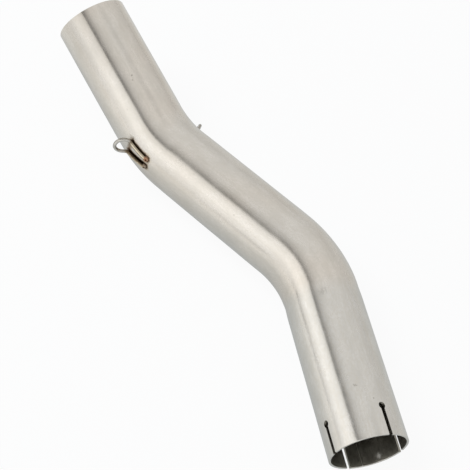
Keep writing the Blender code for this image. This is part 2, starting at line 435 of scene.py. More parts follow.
def remap(value, low, high, to_low=0, to_high=1, kind="SMOOTHSTEP"):
    """The value's place between two limits, held at both"""
    inputs = {"Value": value, "From Min": low, "From Max": high, "To Min": to_low, "To Max": to_high}
    return term(value.tree, "ShaderNodeMapRange", inputs, interpolation_type=kind, clamp=True)


def speckle(place, scale, detail, roughness=0.5, output="Fac"):
    inputs = {"Vector": place, "Scale": scale, "Detail": detail, "Roughness": roughness}
    return term(place.tree, "ShaderNodeTexNoise", inputs, output)


def mixed(share, first, second):
    """Two colours, the second laid on the first by a share"""
    inputs = {0: share}
    for index, colour in ((6, first), (7, second)):
        inputs[index] = colour if isinstance(colour, Term) else (*colour, 1)
    return term(share.tree, "ShaderNodeMix", inputs, 2, data_type="RGBA")


def layered(tone, *layers):
    """A colour with others laid on it in turn, each by its mask and its share"""
    for mask, share, colour in layers:
        tone = mixed(mask * share, tone, colour)
    return tone


# The kinds of socket for a usual value, and for a result's own type
KINDS = {int: "Int", float: "Float", tuple: "Color"}
RESULT_KINDS = {"VALUE": "Float", "RGBA": "Color", "GEOMETRY": "Geometry"}


def tree_with(name, inputs, kind="ShaderNodeTree"):
    """A node tree and its inputs, each named with its kind or its usual value"""
    tree = bpy.data.node_groups.new(name, kind)
    for label, value in inputs.items():
        plain = not isinstance(value, str)
        made = f"NodeSocket{KINDS[type(value)] if plain else value}"
        socket = tree.interface.new_socket(name=label, in_out="INPUT", socket_type=made)
        if plain:
            socket.default_value = value
    given = tree.nodes.new("NodeGroupInput").outputs
    return tree, {label: Term(given[label]) for label in inputs}


def ended(tree, **results):
    """The tree, ended with its results as its named outputs"""
    for label, value in results.items():
        made = f"NodeSocket{RESULT_KINDS[value.socket.type]}"
        tree.interface.new_socket(name=label, in_out="OUTPUT", socket_type=made)
    add(tree, "NodeGroupOutput", results)
    return tree


def stored(tree, name, kind="FLOAT"):
    """What each point carries under a name"""
    return term(tree, "GeometryNodeInputNamedAttribute", {"Name": name}, data_type=kind)


def store(geometry, name, value, kind="FLOAT", domain="POINT"):
    inputs = {"Geometry": geometry, "Name": name, "Value": value}
    return term(geometry.tree, "GeometryNodeStoreNamedAttribute", inputs, data_type=kind, domain=domain)


def shape_of(item):
    """The shape of an object that a tree is given"""
    return term(item.tree, "GeometryNodeObjectInfo", {"Object": item}, "Geometry")


def line_of(item):
    return term(item.tree, "GeometryNodeMeshToCurve", {0: shape_of(item)})


def distance_to(item, target):
    """How far each point is from the nearest of an object's points or faces"""
    return term(item.tree, "GeometryNodeProximity", {0: shape_of(item)}, "Distance", target_element=target)


def realized(geometry):
    return term(geometry.tree, "GeometryNodeRealizeInstances", {0: geometry})


def coated(geometry, finish, where=True):
    inputs = {"Geometry": geometry, "Selection": where, "Material": finish}
    return term(geometry.tree, "GeometryNodeSetMaterial", inputs)


# Objects and meshes

def into_scene(name, data):
    made = bpy.data.objects.new(name, data)
    bpy.context.scene.collection.objects.link(made)
    return made


def remove(*items):
    for item in items:
        bpy.data.objects.remove(item, do_unlink=True)


def grown(name, tree, values):
    """The plain mesh that a tree makes from the values named for its inputs"""
    holder = into_scene(name, bpy.data.meshes.new(name))
    modifier = holder.modifiers.new(tree.name, "NODES")
    modifier.node_group = tree
    sockets = {item.name: item.identifier for item in tree.interface.items_tree if item.in_out == "INPUT"}
    for label, value in values.items():
        modifier[sockets[label]] = value
    bpy.context.view_layer.update()
    graph = bpy.context.evaluated_depsgraph_get()
    mesh = bpy.data.meshes.new_from_object(holder.evaluated_get(graph))
    mesh.name = name
    holder.modifiers.clear()
    holder.data = mesh
    return holder


def mesh_of(name, points, edges, faces, **carried):
    """A plain mesh, whose points each carry a vector or value under each further name"""
    mesh = bpy.data.meshes.new(name)
    mesh.from_pydata([tuple(point) for point in points], edges, faces)
    for label, values in carried.items():
        vectors = isinstance(values[0], Vector)
        made = mesh.attributes.new(label, VECTORS if vectors else "FLOAT", "POINT")
        for item, value in zip(made.data, values):
            setattr(item, "vector" if vectors else "value", value)
    return mesh


def guide(name, points, loop=False, **carried):
    """A hidden line of points that a tree follows"""
    edges = [(index, index + 1) for index in range(len(points) - 1)]
    if loop:
        edges.append((len(points) - 1, 0))
    line = into_scene(name, mesh_of(name, points, edges, [], **carried))
    line.hide_render = True
    return line


def finish_faces(mesh, edge):
    """Turns a mesh's faces outwards and smooths it, but for edges sharper than an angle"""
    shape = bmesh.new()
    shape.from_mesh(mesh)
    bmesh.ops.recalc_face_normals(shape, faces=shape.faces)
    shape.to_mesh(mesh)
    shape.free()
    mesh.shade_smooth()
    mesh.set_sharp_from_angle(angle=edge)


# The bent tube

def run_stations(straight_step=STRAIGHT_STEP, bend_step=BEND_STEP):
    """Stations along the tube, closer together in the bends, with both ends of each run"""
    stations = [0.0]
    start = 0.0
    for length, angle, side in RUNS:
        steps = round(angle / bend_step) if angle else round(length / straight_step)
        stations += [start + length * (index + 1) / steps for index in range(steps)]
        start += length
    return stations


def out_of_round(station):
    """How oval the tube is at a station, as the two parts of a wave around it, and how its skin dips"""
    x = 0.0
    y = 0.0
    bend_ends = []
    start = 0.0
    for length, angle, side in RUNS:
        if angle:
            entered = smooth_step((station - start) / OVAL_RUN_OUT + 0.5)
            left = smooth_step((station - start - length) / OVAL_RUN_OUT + 0.5)
            amount = -BEND_OVALITY * (entered - left)
            x += amount * cos(2 * side)
            y += amount * sin(2 * side)
            bend_ends += [start, start + length]
        start += length
    dip = 0.0
    for end, depth in zip(bend_ends, BEND_MARK_DEPTHS):
        dip -= depth * exp(-((station - end) / BEND_MARK_LENGTH) ** 2)
    return Vector((x, y, dip / OUTER_RADIUS))


def tube_path():
    """The tube's middle line, with the straight tube's +Y and +Z there and how far it is out of round"""
    stations = run_stations()
    frames = [frame_at(station) for station in stations]
    return guide(
        "tube_path",
        [placed.translation for placed in frames],
        across=[placed.to_3x3().col[1].copy() for placed in frames],
        rise=[placed.to_3x3().col[2].copy() for placed in frames],
        out_of_round=[out_of_round(station) for station in stations],
    )


def wall_section():
    """The outline of the tube's wall: X is the station, Y the distance from the tube's axis"""
    stations = run_stations()[1:-1]
    outline = []
    far = TUBE_LENGTH - RIM_ROUNDING
    outer = OUTER_RADIUS - RIM_ROUNDING
    inner = BORE_RADIUS + RIM_ROUNDING
    corners = (
        (RIM_ROUNDING, outer, pi),
        (far, outer, pi / 2),
        (far, inner, 0),
        (RIM_ROUNDING, inner, -pi / 2),
    )
    for index, (station, reach, start) in enumerate(corners):
        for step in range(RIM_STEPS + 1):
            angle = start - pi / 2 * step / RIM_STEPS
            outline.append((station + RIM_ROUNDING * cos(angle), reach + RIM_ROUNDING * sin(angle), 0))
        if index == 0:
            outline += [(between, OUTER_RADIUS, 0) for between in stations]
        if index == 2:
            outline += [(between, BORE_RADIUS, 0) for between in reversed(stations)]
    return guide("wall_section", outline, loop=True)


def keyhole_cutters(tree, given):
    """The hole and the slot of a keyhole, repeated around the straight tube"""
    reach = given["Wall"] * CUTTER_WALLS
    radius = given["Outer radius"] - given["Wall"] / 2
    station = given["Tube length"] - given["Slot depth"]
    hole = term(tree, "GeometryNodeMeshCylinder", {
        "Vertices": SLOT_HOLE_FACETS,
        "Radius": given["Slot hole"] / 2,
        "Depth": reach,
    })
    length = given["Slot depth"] * SLOT_OVERRUN
    slot = term(tree, "GeometryNodeMeshCube", {"Size": joined(length, given["Slot width"], reach)})
    points = term(tree, "GeometryNodePoints", {"Count": given["Slot count"]})
    index = term(tree, "GeometryNodeInputIndex")
    side = index * (2 * pi / given["Slot count"]) + given["First slot side"]
    cutters = []
    for shape, along in ((hole, station), (slot, station + length / 2)):
        place = joined(along, 0, radius)
        moved = term(tree, "GeometryNodeTransform", {"Geometry": shape, "Translation": place})
        placed = term(tree, "GeometryNodeInstanceOnPoints", {
            "Points": points,
            "Instance": moved,
            "Rotation": joined(side - pi / 2, 0, 0),
        })
        cutters.append(realized(placed))
    return cutters


def along_path(path, station, name, output="Value"):
    """The path's place at a station, or a vector that it carries there"""
    return term(path.tree, "GeometryNodeSampleCurve", {
        "Curves": path,
        "Value": stored(path.tree, name, VECTORS),
        "Length": station,
    }, output, data_type=VECTORS, mode="LENGTH", use_all_curves=True)


def roundness(oval_and_dip, side, place, given):
    """The tube's width as a share of a round tube's: oval, dipped and slightly wavy"""
    oval_x, oval_y, dip = split(oval_and_dip)
    twice = side * 2
    oval = oval_x * twice.calc("COSINE") + oval_y * twice.calc("SINE")
    waves = speckle(place, 1 / given["Wave length"], 1)
    wavy = (waves - 0.5) * (given["Wave height"] * 2) / given["Outer radius"]
    return oval + dip + wavy + 1


def inside_the_skin(tree, given):
    """The bore and the slots' walls, without the rims"""
    x, y, z = split(stored(tree, "straight_place", VECTORS))
    under_skin = (y * y + z * z).calc("SQRT") < given["Outer radius"] - SKIN_DEPTH
    between_rims = (x > SKIN_DEPTH) * (x < given["Tube length"] - SKIN_DEPTH)
    return under_skin * between_rims


def bent_tube_tree():
    """Sweeps the wall's section round a circle, cuts the keyholes and lays the tube along its path"""
    tree, given = tree_with("bent_tube", {
        "Wall section": "Object",
        "Tube path": "Object",
        "Weld places": "Object",
        "Facets": TUBE_FACETS,
        "Outer radius": OUTER_RADIUS,
        "Wall": WALL,
        "Tube length": TUBE_LENGTH,
        "Seam side": SEAM_SIDE,
        "Seam width": SEAM_WIDTH,
        "Seam height": SEAM_HEIGHT,
        "Slot count": SLOT_COUNT,
        "First slot side": FIRST_SLOT_SIDE,
        "Slot depth": SLOT_DEPTH,
        "Slot width": SLOT_WIDTH,
        "Slot hole": SLOT_HOLE,
        "Wave height": WAVE_HEIGHT,
        "Wave length": WAVE_LENGTH,
        "Skin finish": "Material",
        "Bore finish": "Material",
    }, "GeometryNodeTree")
    position = term(tree, "GeometryNodeInputPosition")
    section = store(line_of(given["Wall section"]), "section_place", position, VECTORS)
    circle = term(tree, "GeometryNodeCurvePrimitiveCircle", {"Resolution": given["Facets"]})
    index = term(tree, "GeometryNodeInputIndex")
    circle = store(circle, "around", index * (2 * pi / given["Facets"]))
    swept = term(tree, "GeometryNodeCurveToMesh", {"Curve": circle, "Profile Curve": section})

    station, reach, unused = split(stored(tree, "section_place", VECTORS))
    around = stored(tree, "around")
    off_seam = abs(off_side(around, given["Seam side"])) * given["Outer radius"]
    on_seam = remap(off_seam, given["Seam width"] / 2, 0)
    in_bore = reach < given["Outer radius"] - given["Wall"] / 2
    reach = reach - on_seam * given["Seam height"] * in_bore
    straight = term(tree, "GeometryNodeSetPosition", {
        "Geometry": swept,
        "Position": joined(station, reach * around.calc("COSINE"), reach * around.calc("SINE")),
    })

    uncut = {"Mesh 1": straight}
    cutting = add(tree, "GeometryNodeMeshBoolean", uncut, operation="DIFFERENCE", solver="EXACT")
    for cutter in keyhole_cutters(tree, given):
        tree.links.new(cutter.socket, cutting.inputs["Mesh 2"])
    skin = store(Term(cutting.outputs[0]), "straight_place", position, VECTORS)
    x, y, z = split(position)
    side = side_of(y, z)
    skin = store(skin, "along_and_around", joined(x, side, 0), "FLOAT2", "CORNER")

    path = line_of(given["Tube path"])
    grown_by = roundness(along_path(path, x, "out_of_round"), side, position, given)
    out_across = scaled(along_path(path, x, "across"), y * grown_by)
    out_rise = scaled(along_path(path, x, "rise"), z * grown_by)
    middle = along_path(path, x, "across", "Position")
    bent = vector_calc("ADD", middle, vector_calc("ADD", out_across, out_rise))
    laid = term(tree, "GeometryNodeSetPosition", {"Geometry": skin, "Position": bent})
    laid = store(laid, "weld_distance", distance_to(given["Weld places"], "POINTS"))
    laid = coated(realized(laid), given["Skin finish"])
    laid = coated(laid, given["Bore finish"], inside_the_skin(tree, given))
    return ended(tree, Geometry=laid)


def add_tube(finish, bore_finish, welds):
    section = wall_section()
    path = tube_path()
    tube = grown("satin_tube", bent_tube_tree(), {
        "Wall section": section,
        "Tube path": path,
        "Weld places": welds,
        "Skin finish": finish,
        "Bore finish": bore_finish,
    })
    finish_faces(tube.data, TUBE_EDGE)
    remove(section, path)
    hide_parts("mid_pipe")
    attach(tube, "root")
    return tube


# The spring hooks

def hairpin():
    """The middle line of the flat hairpin: distance from where it leans out, and across"""
    lean_arc = LEAN_RADIUS * LOOP_LEAN
    leg_steps = round(LEG_LENGTH / WIRE_STEP)
    lean_steps = round(lean_arc / WIRE_STEP)
    leg = [LEG_LENGTH * (1 - step / leg_steps) for step in range(leg_steps)]
    leg += [-lean_arc * step / lean_steps for step in range(lean_steps + 1)]
    upper = [(distance, leg_across(distance)) for distance in leg]
    start = pi / 2 - LEG_CLOSING
    sweep = pi + 2 * LEG_CLOSING
    loop_steps = round(LOOP_RADIUS * sweep / WIRE_STEP)
    loop = []
    for step in range(loop_steps + 1):
        angle = start + sweep * step / loop_steps
        loop.append((LOOP_RADIUS - LOOP_LENGTH + LOOP_RADIUS * cos(angle), LOOP_RADIUS * sin(angle)))
    lower = [(distance, -across) for distance, across in reversed(upper)]
    return upper + loop + lower


def bent_wire_tree():
    """A round wire along a line, with the place along and around it kept for its finish"""
    tree, given = tree_with("bent_wire", {
        "Wire path": "Object",
        "Weld places": "Object",
        "Tube": "Object",
        "Thickness": WIRE,
        "Facets": WIRE_FACETS,
        "Finish": "Material",
    }, "GeometryNodeTree")
    along = term(tree, "GeometryNodeSplineParameter", output="Length")
    path = store(line_of(given["Wire path"]), "along_wire", along)
    section = term(tree, "GeometryNodeCurvePrimitiveCircle", {
        "Resolution": given["Facets"],
        "Radius": given["Thickness"] / 2,
    })
    position = term(tree, "GeometryNodeInputPosition")
    section = store(section, "wire_section", position, VECTORS)
    swept = term(tree, "GeometryNodeCurveToMesh", {
        "Curve": path,
        "Profile Curve": section,
        "Fill Caps": True,
    })
    inwards = stored(tree, "inwards", VECTORS)
    facing = vector_calc("DOT_PRODUCT", term(tree, "GeometryNodeInputNormal"), inwards, "Value")
    swept = store(swept, "inner_side", facing)
    section_x, section_y, unused = split(stored(tree, "wire_section", VECTORS))
    place = joined(stored(tree, "along_wire"), section_x, section_y)
    swept = store(swept, "straight_place", place, VECTORS)
    swept = store(swept, "weld_distance", distance_to(given["Weld places"], "POINTS"))
    swept = store(swept, "tube_distance", distance_to(given["Tube"], "FACES"))
    return ended(tree, Geometry=coated(realized(swept), given["Finish"]))


def on_wire(hand, distance, across):
    placed, height = hook_frame(hand, distance, across)
    return placed @ Vector((0, 0, height))


def hook_path(hand):
    """The line of a hook's wire, with the way inwards and where it is a leg and a neck"""
    points = []
    inwards = []
    on_leg = []
    at_neck = []
    for distance, across in hairpin():
        point = on_wire(hand, distance, across)
        middle = on_wire(hand, max(distance, LOOP_RADIUS - LOOP_LENGTH), 0)
        points.append(point)
        inwards.append((middle - point).normalized())
        on_leg.append(smooth_step(1 + distance / NECK_LENGTH))
        at_neck.append(exp(-((distance + NECK_LENGTH / 4) / (NECK_LENGTH / 2)) ** 2))
    return guide(f"hook_path_{hand}", points, inwards=inwards, on_leg=on_leg, at_neck=at_neck)


def add_hooks(finish, welds, tube):
    tree = bent_wire_tree()
    for hand in HOOK_SIDES:
        path = hook_path(hand)
        hook = grown(f"wire_hook_{hand}", tree, {
            "Wire path": path,
            "Weld places": welds,
            "Tube": tube,
            "Finish": finish,
        })
        finish_faces(hook.data, WIRE_EDGE)
        remove(path)
        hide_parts(f"spring_hook_{hand}")
        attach(hook, "root")


# The weld beads

def in_crater(along, across):
    """How deep in the bead's crater a point lies, from 0 to 1"""
    return exp(-((along - CRATER_PLACE) ** 2 + across ** 2) / CRATER_RADIUS ** 2)


def bead_height(along, across, spread):
    """The bead's height above the tube: a rough, rippled dome with the arc's crater"""
    dome = BEAD_HEIGHT * (1 - spread ** 2) ** BEAD_FLATNESS
    from_tip = Vector((along - RIPPLE_CENTRE, across)).length
    ripple = RIPPLE_HEIGHT * sin(2 * pi * from_tip / RIPPLE_SPACING) * (1 - spread ** 4)
    crater = -CRATER_DEPTH * in_crater(along, across)
    grain = noise.noise(Vector((along, across, SKIN_GRAIN_SLICE)) / SKIN_GRAIN)
    rough = SKIN_ROUGHNESS * grain * (1 - spread ** 6)
    return dome + ripple + crater + rough


def bead_mesh(name, placed, seed, copper):
    """A bead on the tube's skin, its edge feathered into it, its underside just inside the tube"""
    points = []
    pit = []
    foot = []
    for ring in range(BEAD_RINGS + 1):
        spread = 1 - ring / BEAD_RINGS
        for step in range(BEAD_FACETS if spread else 1):
            angle = 2 * pi * step / BEAD_FACETS
            edge_place = Vector((cos(angle), sin(angle), seed)) * EDGE_WOBBLES
            wobble = 1 + EDGE_WOBBLE * noise.noise(edge_place)
            along = BEAD_LENGTH / 2 * wobble * spread * cos(angle)
            across = BEAD_WIDTH / 2 * wobble * spread * sin(angle)
            drop = OUTER_RADIUS - (OUTER_RADIUS ** 2 - across ** 2) ** 0.5
            height = bead_height(along, across, spread) if ring else 0
            points.append(placed @ Vector((along, across, height - drop - BEAD_SINK)))
            pit.append(in_crater(along, across))
            foot.append(spread ** 4)
    tip = len(points) - 1
    points.append(placed @ Vector((0, 0, -2 * BEAD_SINK)))
    faces = []
    for step in range(BEAD_FACETS):
        beside = (step + 1) % BEAD_FACETS
        faces.append((beside, step, tip + 1))
        faces.append((tip - BEAD_FACETS + step, tip - BEAD_FACETS + beside, tip))
        for start in range(0, tip - BEAD_FACETS, BEAD_FACETS):
            inner = start + BEAD_FACETS
            faces.append((start + step, start + beside, inner + beside, inner + step))
    carried = {"pit": pit + [0.0], "foot": foot + [0.0], "copper": [copper] * len(points)}
    mesh = mesh_of(name, points, [], faces, **carried)
    finish_faces(mesh, BEAD_EDGE)
    return mesh


def add_beads(finish):
    seed = 0
    for hand in HOOK_SIDES:
        for leg in LEGS:
            seed += BEAD_SEED_STEP
            name = f"weld_bead_{hand}_{leg}"
            placed = leg_end(hand, leg) @ Matrix.Scale(BEAD_SHARE[leg], 4)
            bead = into_scene(name, bead_mesh(name, placed, seed, COPPER_TONE[leg]))
            bead.data.materials.append(finish)
            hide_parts(f"weld_tack_{hand}_{leg}")
            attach(bead, "root")


# Shared effects of the finishes

def fine_grain_group():
    """Fine lines left by a belt that ran round the metal, as a height and a tone"""
    tree, given = tree_with("fine_grain", {
        "Place": "Vector",
        "Lines per metre": 1600.0,
        "Run": 25.0,
        "Band share": 0.17,
    })
    x, y, z = split(given["Place"])
    fine = joined(x * given["Lines per metre"], y * given["Run"], z * given["Run"])
    bands = scaled(fine, given["Band share"])
    return ended(tree, Height=speckle(fine, 1, 3, 0.6), Tone=speckle(bands, 1, 2))


def cloud_group():
    """Soft cloudy patches and a finer fleck, as pickling leaves them"""
    tree, given = tree_with("clouding", {
        "Place": "Vector",
        "Patch size": 5 * MM,
        "Flecks in a patch": 7.0,
    })
    scale = 1 / given["Patch size"]
    stretched = vector_calc("MULTIPLY", given["Place"], (0.55, 1, 1))
    cloud = speckle(stretched, scale, 4, 0.55)
    fleck = speckle(stretched, scale * given["Flecks in a patch"], 3, 0.6)
    return ended(tree, Cloud=remap(cloud, 0.3, 0.7), Fleck=remap(fleck, 0.3, 0.7))


def heat_group():
    """Colours that welding leaves: soot at the bead, then brown, then straw further off"""
    tree, given = tree_with("weld_heat", {
        "Metal": (0.7, 0.7, 0.7, 1.0),
        "Distance": 0.1,
        "Unevenness": 0.5,
        "Reach": 7 * MM,
    })
    shift = (given["Unevenness"] - 0.5) * given["Reach"] * 0.8
    share = (given["Distance"] + shift) / given["Reach"]
    straw = remap(share, 1.5, 0.6)
    brown = remap(share, 0.85, 0.45)
    soot = remap(share, 0.62, 0.30)
    colour = layered(given["Metal"], (straw, 0.5, STRAW), (brown, 0.7, BROWNING_AND_SHADE), (soot, 0.85, SOOT_AND_SHADE))
    return ended(tree, Colour=colour, Soot=soot)


def leg_group():
    """How far a place on the tube is from a hook's nearer leg, and how dark it is in the neck, partly heat
    stain and partly painted shade
    """
    tree, given = tree_with("leg_nearness", {
        "Place": "Vector",
        "Hook station": 0.0,
        "Hook side": 0.0,
    })
    x, y, z = split(given["Place"])
    arc = off_side(side_of(y, z), given["Hook side"]) * OUTER_RADIUS
    past = x - given["Hook station"]
    along = past * cos(HOOK_SKEW) - arc * sin(HOOK_SKEW)
    across = abs(past * sin(HOOK_SKEW) + arc * cos(HOOK_SKEW))
    beside = across - (leg_across(NECK_END) - along * tan(LEG_CLOSING))
    off_end = (-along).calc("MAXIMUM", 0) + (along - LEG_LENGTH).calc("MAXIMUM", 0)
    # The neck patch: partly the heat's stain, partly painted shade under the wire where it leans out
    stain_and_shade = remap(abs(along + NECK_PATCH_PLACE), *NECK_PATCH_ALONG) * remap(across, *NECK_PATCH_ACROSS)
    distance = (beside * beside + off_end * off_end).calc("SQRT")
    return ended(tree, Distance=distance, Neck=stain_and_shade)


def streak_group():
    """Faint lines along the metal, left by drawing it, as a mask"""
    tree, given = tree_with("draw_lines", {
        "Place": "Vector",
        "Width": 3 * MM,
        "Run": 100 * MM,
    })
    x, y, z = split(given["Place"])
    thin = joined(x / given["Run"], y / given["Width"], z / given["Width"])
    return ended(tree, Streak=remap(speckle(thin, 1, 2, 0.6), 0.45, 0.75))


def marks_group():
    """Small knocks and rubs from handling, as a mask"""
    tree, given = tree_with("handling_marks", {
        "Place": "Vector",
        "Spacing": 26 * MM,
        "Size": 1.0 * MM,
        "Raggedness": 1.2 * MM,
        "Rags per metre": 900.0,
    })
    ragged = speckle(given["Place"], given["Rags per metre"], 2, output="Color")
    shift = scaled(vector_calc("SUBTRACT", ragged, (0.5, 0.5, 0.5)), given["Raggedness"])
    place = vector_calc("ADD", given["Place"], shift)
    scale = 1 / given["Spacing"]
    cells = term(tree, "ShaderNodeTexVoronoi", {"Vector": place, "Scale": scale}, "Distance")
    return ended(tree, Mark=remap(cells * given["Spacing"], given["Size"], 0))


# The finishes

def metal(name):
    """A metal, its tree and its shader"""
    made = bpy.data.materials.new(name)
    made.use_nodes = True
    shader = made.node_tree.nodes["Principled BSDF"]
    shader.inputs["Metallic"].default_value = 1.0
    return made, made.node_tree, shader


def set_metal(shader, colour, roughness, height, depth):
    """Gives a metal's shader its colour, its roughness and the fine relief of its skin"""
    relief = term(height.tree, "ShaderNodeBump", {"Height": height, "Distance": depth, "Strength": 1})
    for name, value in (("Base Color", colour), ("Roughness", roughness), ("Normal", relief)):
        value.tree.links.new(value.socket, shader.inputs[name])


def use(group, place, values):
    """What a shared effect gives at a place on the metal"""
    return outputs(add(place.tree, "ShaderNodeGroup", {"Place": place, **values}, node_tree=group))


def read(tree, name, output="Fac"):
    """What a piece carries on its points under a name"""
    return term(tree, "ShaderNodeAttribute", None, output, attribute_name=name)


def heated(groups, tone, fleck, reach):
    """A metal's tone with the colours of the nearest weld's heat, and its soot"""
    distance = read(tone.tree, "weld_distance")
    inputs = {"Metal": tone, "Distance": distance, "Unevenness": fleck, "Reach": reach}
    return outputs(add(tone.tree, "ShaderNodeGroup", inputs, node_tree=groups["heat"]))


def spot(place, fleck, station, side, radius, size, core, edge):
    """A ragged spot on a wall of the tube, full at its core and gone at its size"""
    middle = (station, radius * cos(side), radius * sin(side))
    off = vector_calc("DISTANCE", place, middle, "Value")
    return remap(off + fleck * edge, size, core)


def satin_skin(groups, place, cloud, fleck, mark):
    """The skin's tone before welding: patches, warmer on the bent part, flecks, streaks, marks and a
    painted shade by the plain end
    """
    x, y, z = split(place)
    broad = use(groups["cloud"], place, {"Patch size": 38 * MM})[0]
    streak = use(groups["streak"], place, {"Width": 2.6 * MM, "Run": 110 * MM})[0]
    cool = (broad * 0.7).calc("MAXIMUM", remap(x, BENT_END, COOL_START))
    darker, lighter = [mixed(cool, warm, cold) for warm, cold in zip(WARM_SATIN, COOL_SATIN)]
    painted_shade = remap(abs(off_side(side_of(y, z), PAINTED_SHADE_SIDE)), PAINTED_SHADE_HALF, PAINTED_SHADE_HALF / 3)
    knocked = 0
    for station, side, size, darkness in KNOCKS:
        knock = spot(place, fleck, station, side, OUTER_RADIUS, size, size * KNOCK_CORE, size * KNOCK_EDGE)
        knocked = (knock * darkness).calc("MAXIMUM", knocked)
    return layered(
        mixed(cloud, darker, lighter),
        (fleck, 0.55, SATIN_FLECK),
        (streak, 0.3, SATIN_STREAK),
        # painted shade: a patch by the plain end, darkened towards black
        (painted_shade * remap(x, PAINTED_SHADE_REACH, PAINTED_SHADE_REACH / 8), PAINTED_SHADE_SHARE, BLACK),
        (mark, 0.45, SATIN_MARK),
        (knocked, 1, SATIN_KNOCK),
    )


def satin_steel(groups):
    """The tube's outside: satin stainless, browned round the hooks' legs, with soot and painted crevice
    shade beside them
    """
    made, tree, shader = metal("satin_stainless")
    place = read(tree, "straight_place", "Vector")
    grain, grain_tone = use(groups["grain"], place, {"Lines per metre": 1600, "Run": 25})
    cloud, fleck = use(groups["cloud"], place, {"Patch size": 8 * MM})
    mark = use(groups["marks"], place, {"Spacing": 34 * MM, "Size": 0.9 * MM})[0]
    tone, soot = heated(groups, satin_skin(groups, place, cloud, fleck, mark), fleck, 3.2 * MM)
    legs = []
    for hand, side in HOOK_SIDES.items():
        hook = {"Hook station": HOOK_STATIONS[hand], "Hook side": side}
        legs.append(use(groups["leg"], place, hook))
    (left_leg, left_neck), (right_leg, right_neck) = legs
    near_leg = left_leg.calc("MINIMUM", right_leg) + (fleck - 0.5) * (0.6 * MM)
    # Beside the legs: heat browning, then a dark band that is partly soot and partly painted shade in the
    # crevice between wire and tube; in the necks a brown patch, partly heat stain and partly painted shade
    tone = layered(
        tone,
        (remap(near_leg, 4.0 * MM, 2.4 * MM), 0.5, BROWNING_AND_SHADE),
        (remap(near_leg, 3.0 * MM, 2.0 * MM), 0.88, SOOT_AND_SHADE),
        (left_neck.calc("MAXIMUM", right_neck), 0.6, BROWNING_AND_SHADE),
    )
    rough = cloud * 0.05 + grain_tone * 0.05 + soot * 0.25 + SATIN_ROUGHNESS
    set_metal(shader, tone, rough, grain + fleck * 0.5 - mark * 1.5, SATIN_RELIEF)
    shader.inputs["Anisotropic"].default_value = SATIN_BRUSHING
    tangent = add(tree, "ShaderNodeTangent", direction_type="UV_MAP", uv_map="along_and_around")
    tree.links.new(tangent.outputs[0], shader.inputs["Tangent"])
    return made


def bore_steel(groups):
    """The inside: never polished, browned, with the rolled tube's weld seam as a brighter line and a
    painted glint by the slotted rim
    """
    made, tree, shader = metal("raw_bore_steel")
    place = read(tree, "straight_place", "Vector")
    x, y, z = split(place)
    cloud, fleck = use(groups["cloud"], place, {"Patch size": 7 * MM})
    off_seam = abs(off_side(side_of(y, z), SEAM_SIDE))
    on_seam = remap(off_seam, SEAM_WIDTH / OUTER_RADIUS * 0.2, 0)
    # A painted glint: a bright spot on the bore by the slotted rim, also made rougher
    painted_glint = spot(place, fleck, GLINT_STATION, GLINT_SIDE, BORE_RADIUS, GLINT_SIZE, GLINT_CORE, GLINT_EDGE)
    tone = layered(mixed(cloud, *RAW_BORE), (on_seam, 0.8, BORE_SEAM), (painted_glint, 1, BORE_GLINT))
    set_metal(shader, tone, fleck * 0.12 + painted_glint * 0.25 + BORE_ROUGHNESS, fleck, BORE_RELIEF)
    return made


def wire_steel(groups):
    """The hooks' wire: drawn bright, with straw legs, an inner side darkened partly by burning and partly
    by painted shade, and a painted shade on its outer edge
    """
    made, tree, shader = metal("drawn_wire_steel")
    place = read(tree, "straight_place", "Vector")
    grain = use(groups["grain"], place, {"Lines per metre": 300, "Run": 2500})[0]
    cloud, fleck = use(groups["cloud"], place, {"Patch size": 2.2 * MM})
    tone = heated(groups, mixed(cloud, *DRAWN_WIRE), fleck, 3.0 * MM)[0]
    on_leg = read(tree, "on_leg")
    inner_side = read(tree, "inner_side")
    above = read(tree, "tube_distance") + fleck * (0.4 * MM)
    # Burning mixed with painted shade: darker on the inner side, a painted shade on the outer edge, and
    # darker near the tube and at the neck where the wire leaves it
    tone = layered(
        tone,
        (on_leg, 0.6, STRAW),
        (remap(inner_side + (fleck - 0.5) * 0.5, 0.05, 0.6), on_leg * 0.37 + 0.5, BURNT_AND_SHADE),
        (remap(inner_side, -0.7, -0.95), 0.5, BURNT_AND_SHADE),
        (remap(above, 1.4 * MM, 0.8 * MM), 0.6, BURNT_AND_SHADE),
        (read(tree, "at_neck"), 0.75, BURNT_AND_SHADE),
    )
    set_metal(shader, tone, fleck * 0.10 + WIRE_ROUGHNESS, grain, WIRE_RELIEF)
    return made


def weld_steel(groups):
    """The weld beads: copper toned or pale, flecked, with a dark foot and a dark pit"""
    made, tree, shader = metal("copper_toned_weld")
    place = term(tree, "ShaderNodeTexCoord", output="Object")
    cloud, fleck = use(groups["cloud"], place, {"Patch size": 1.6 * MM})
    tone = layered(
        mixed(read(tree, "copper"), mixed(cloud, *PALE_WELD), mixed(cloud, *COPPER_WELD)),
        (fleck, 0.55, WELD_FLECK),
        (read(tree, "foot"), 1, WELD_FOOT),
        (remap(read(tree, "pit"), 0.25, 0.75), 1, WELD_PIT),
    )
    set_metal(shader, tone, fleck * 0.2 + WELD_ROUGHNESS, fleck, WELD_RELIEF)
    return made


# The studio

def bare_material(name):
    made = bpy.data.materials.new(name)
    made.use_nodes = True
    made.node_tree.nodes.clear()
    return made, made.node_tree


def tent_brightness(angle):
    """The cloth's brightness all along the tent by the angle over it"""
    ramp = add(angle.tree, "ShaderNodeValToRGB", {"Fac": angle / pi})
    elements = ramp.color_ramp.elements
    elements.remove(elements[-1])
    for index, (degrees, level) in enumerate(TENT_LEVELS):
        element = elements.new(degrees / 180) if index else elements[0]
        element.position = degrees / 180
        element.color = (level, level, level, 1)
    return Term(ramp.outputs[0])


